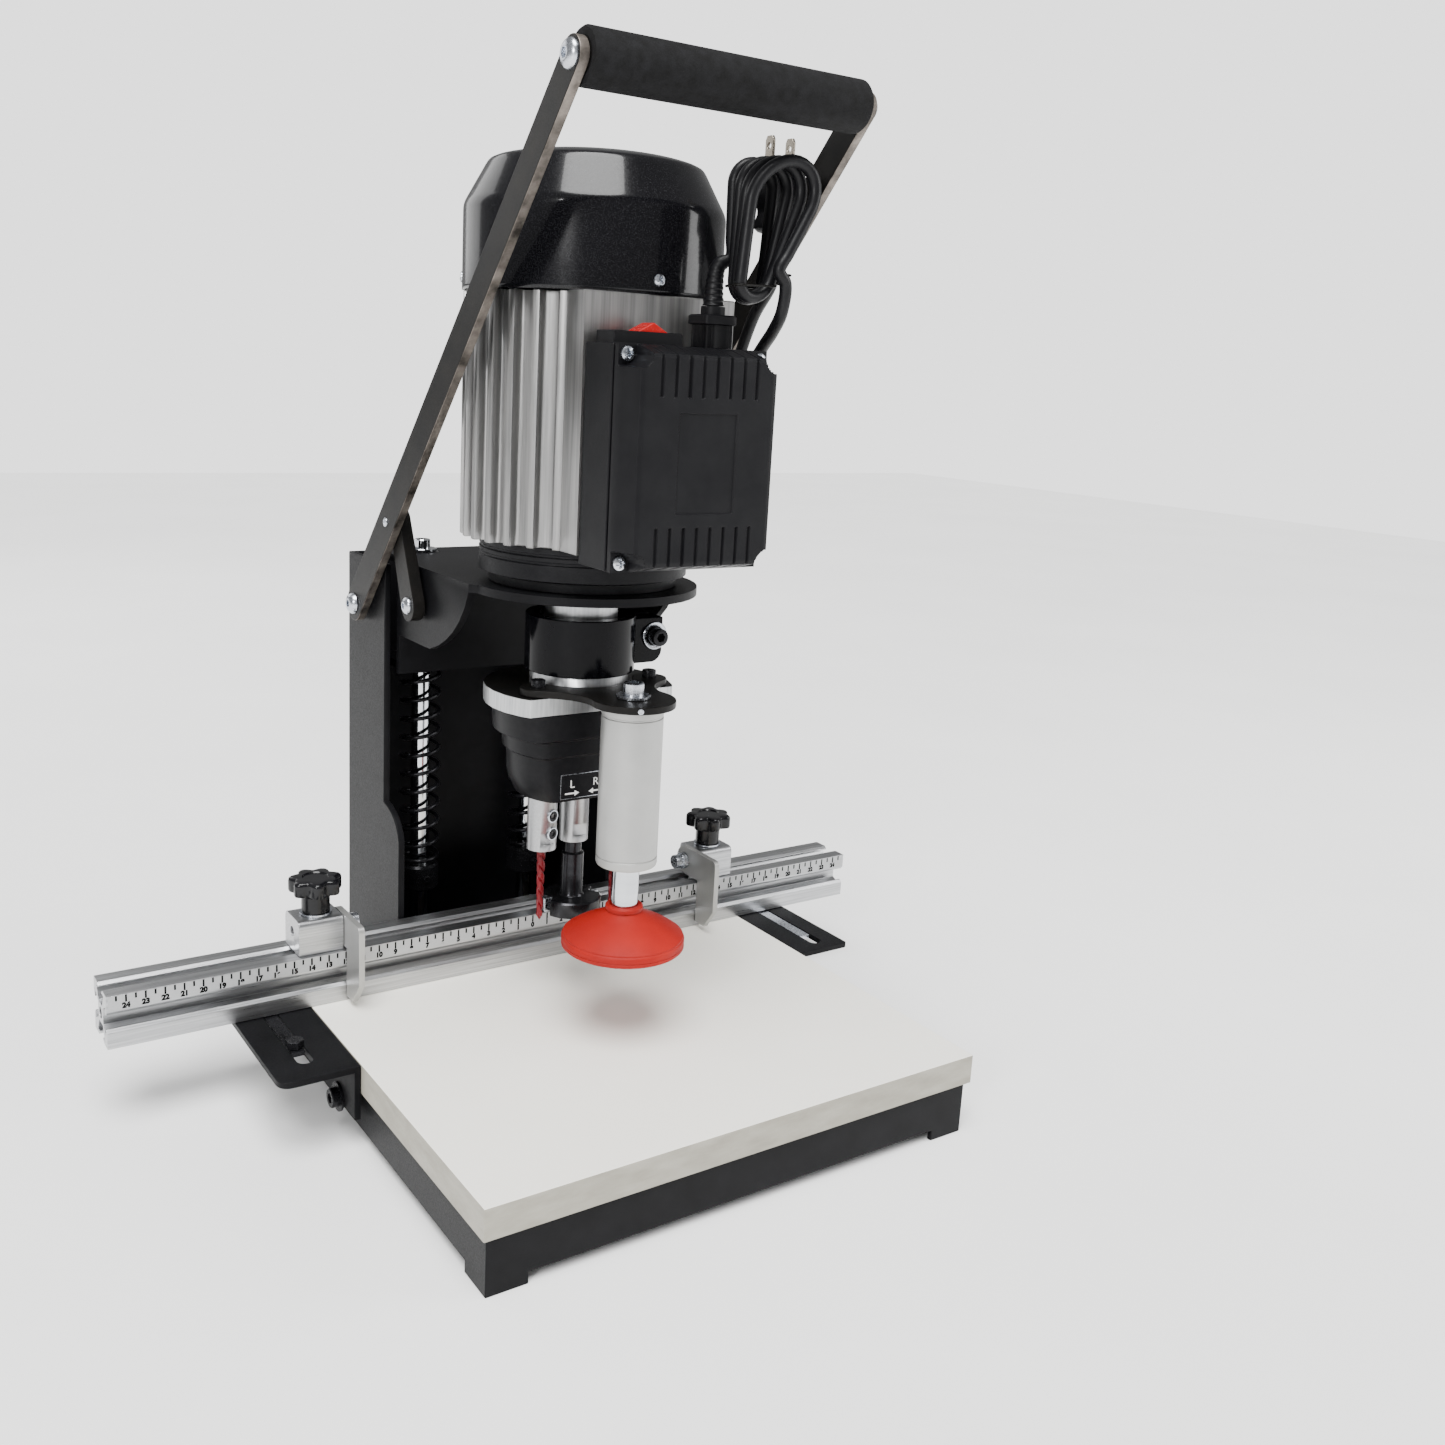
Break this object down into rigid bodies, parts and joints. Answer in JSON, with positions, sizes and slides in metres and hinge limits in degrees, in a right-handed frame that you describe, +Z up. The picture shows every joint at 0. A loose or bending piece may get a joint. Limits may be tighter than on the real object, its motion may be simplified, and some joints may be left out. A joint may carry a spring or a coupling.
{
  "type": "hinge boring machine",
  "caption": "Bench machine that drills a hinge cup and two dowel holes in a door: motor and spindle head on sprung posts, pulled down by a lever over a table with a fence and flip stops.",
  "frame": {"origin": "middle of the machine footprint, on the bench that it stands on", "axes": "+Z up, -Y towards the user, +X to the right along the fence"},
  "size_m": [0.5, 0.342, 0.5503],
  "materials": {
    "powder_black": "satin powder coat",
    "white_board": "smooth white melamine over board",
    "chrome": "polished",
    "black_steel": "blackened, satin",
    "zinc": "bright zinc",
    "aluminium": "satin machined",
    "cast_iron_black": "black paint, satin",
    "cast_aluminium": "as cast, slightly dull",
    "stator_iron": "laminated iron",
    "gloss_black": "gloss with fine metal flake",
    "black_plastic": "satin moulded",
    "red_plastic": "semi-gloss moulded",
    "anodised_black": "black anodised",
    "anodised_silver": "matte anodised",
    "red_rubber": "smooth satin",
    "red_paint": "semi-gloss",
    "foam": "matte foam",
    "cord_rubber": "satin"
  },
  "bodies": {
    "frame": {"base_tray": "powder_black", "table_board": "white_board", "column": "powder_black", "guide_post_left": "chrome", "guide_post_right": "chrome", "post_collar_left": "black_steel", "post_collar_right": "black_steel", "spring_left": "black_steel", "spring_right": "black_steel", "lever_pivot_bolt_left": "zinc", "lever_pivot_bolt_right": "zinc", "fence_bracket_left": "powder_black", "fence_bracket_right": "powder_black", "bracket_bolt_left": "zinc", "bracket_bolt_right": "zinc"},
    "carriage": {"carriage": "powder_black", "guide_bush_left": "zinc", "guide_bush_right": "zinc", "motor_end_bell": "cast_iron_black", "motor_housing": "cast_aluminium", "stator": "stator_iron", "fan_cover": "gloss_black", "box_base": "black_plastic", "box_cover": "black_plastic", "cord_gland": "black_plastic", "cord_lead": "cord_rubber", "cord_hank": "cord_rubber", "cord_tail": "cord_rubber", "plug": "cord_rubber", "collar_clamp": "gloss_black", "head_flange": "aluminium", "head_block": "anodised_black", "hold_down_bracket": "powder_black", "hold_down_cylinder": "anodised_silver", "hold_down_screw": "zinc"},
    "rocker": {"switch_rocker": "red_plastic"},
    "drive": {"rotor": "zinc", "spindle_middle": "zinc", "cup_drill": "black_steel"},
    "spindle_left": {"spindle_left": "zinc", "dowel_drill_left": "red_paint"},
    "spindle_right": {"spindle_right": "zinc", "dowel_drill_right": "red_paint"},
    "hold_down": {"hold_down_rod": "chrome", "hold_down_foot": "red_rubber"},
    "lever": {"lever_arm_left": "powder_black", "lever_arm_right": "powder_black", "grip_bar": "black_steel", "grip_sleeve": "foam"},
    "links": {"link_left": "powder_black", "link_right": "powder_black"},
    "fence": {"fence_rail": "aluminium", "fence_clamp_left": "black_steel", "fence_clamp_right": "black_steel"},
    "stop_left": {"stop_block_left": "aluminium"},
    "stop_right": {"stop_block_right": "aluminium"},
    "flip_plate_left": {"stop_plate_left": "anodised_silver"},
    "flip_plate_right": {"stop_plate_right": "anodised_silver"},
    "knob_left": {"stop_knob_left": "gloss_black"},
    "knob_right": {"stop_knob_right": "gloss_black"}
  },
  "joints": [
    {"name": "carriage_slide", "type": "slide", "parent": "frame", "child": "carriage", "axis": [0, 0, -1], "range_m": [0, 0.045], "stiffness_N_per_m": 3000, "springref_m": -0.06, "deforming": ["spring_left", "spring_right"]},
    {"name": "lever_swing", "type": "hinge", "parent": "frame", "child": "lever", "pos_m": [0, 0.139, 0.2618], "axis": [1, 0, 0], "range_deg": [0, 36.9]},
    {"name": "link_swing", "type": "hinge", "parent": "carriage", "child": "links", "pos_m": [0, 0.0695, 0.2717], "axis": [1, 0, 0], "range_deg": [0, 27.6]},
    {"name": "hold_down_slide", "type": "slide", "parent": "carriage", "child": "hold_down", "axis": [0, 0, 1], "range_m": [0, 0.022], "stiffness_N_per_m": 900, "springref_m": -0.02},
    {"name": "drive_spin", "type": "hinge", "parent": "carriage", "child": "drive", "pos_m": [0, 0.005, 0.197], "axis": [0, 0, 1], "continuous": true},
    {"name": "spindle_left_spin", "type": "hinge", "parent": "carriage", "child": "spindle_left", "pos_m": [-0.024, -0.001, 0.197], "axis": [0, 0, 1], "continuous": true},
    {"name": "spindle_right_spin", "type": "hinge", "parent": "carriage", "child": "spindle_right", "pos_m": [0.024, -0.001, 0.197], "axis": [0, 0, 1], "continuous": true},
    {"name": "switch_press", "type": "hinge", "parent": "carriage", "child": "rocker", "pos_m": [-0.014, -0.07715, 0.4271], "axis": [0, 1, 0], "range_deg": [0, 22.9]},
    {"name": "fence_slide", "type": "slide", "parent": "frame", "child": "fence", "axis": [0, -1, 0], "range_m": [0, 0.011]},
    {"name": "stop_left_slide", "type": "slide", "parent": "fence", "child": "stop_left", "axis": [1, 0, 0], "range_m": [-0.08, 0.05]},
    {"name": "stop_right_slide", "type": "slide", "parent": "fence", "child": "stop_right", "axis": [1, 0, 0], "range_m": [-0.05, 0.08]},
    {"name": "plate_left_flip", "type": "hinge", "parent": "stop_left", "child": "flip_plate_left", "pos_m": [-0.11815, 0.066, 0.0886], "axis": [1, 0, 0], "range_deg": [-42, 0]},
    {"name": "plate_right_flip", "type": "hinge", "parent": "stop_right", "child": "flip_plate_right", "pos_m": [0.12425, 0.066, 0.0886], "axis": [1, 0, 0], "range_deg": [-42, 0]},
    {"name": "knob_left_turn", "type": "hinge", "parent": "stop_left", "child": "knob_left", "pos_m": [-0.1332, 0.066, 0.107], "axis": [0, 0, 1], "continuous": true},
    {"name": "knob_right_turn", "type": "hinge", "parent": "stop_right", "child": "knob_right", "pos_m": [0.1393, 0.066, 0.107], "axis": [0, 0, 1], "continuous": true}
  ],
  "couplings": [
    {"joint": "lever_swing", "follows": "carriage_slide", "rad_per_m": 14.31},
    {"joint": "link_swing", "follows": "carriage_slide", "rad_per_m": 10.7},
    {"joint": "spindle_left_spin", "follows": "drive_spin", "ratio": -1},
    {"joint": "spindle_right_spin", "follows": "drive_spin", "ratio": -1}
  ]
}
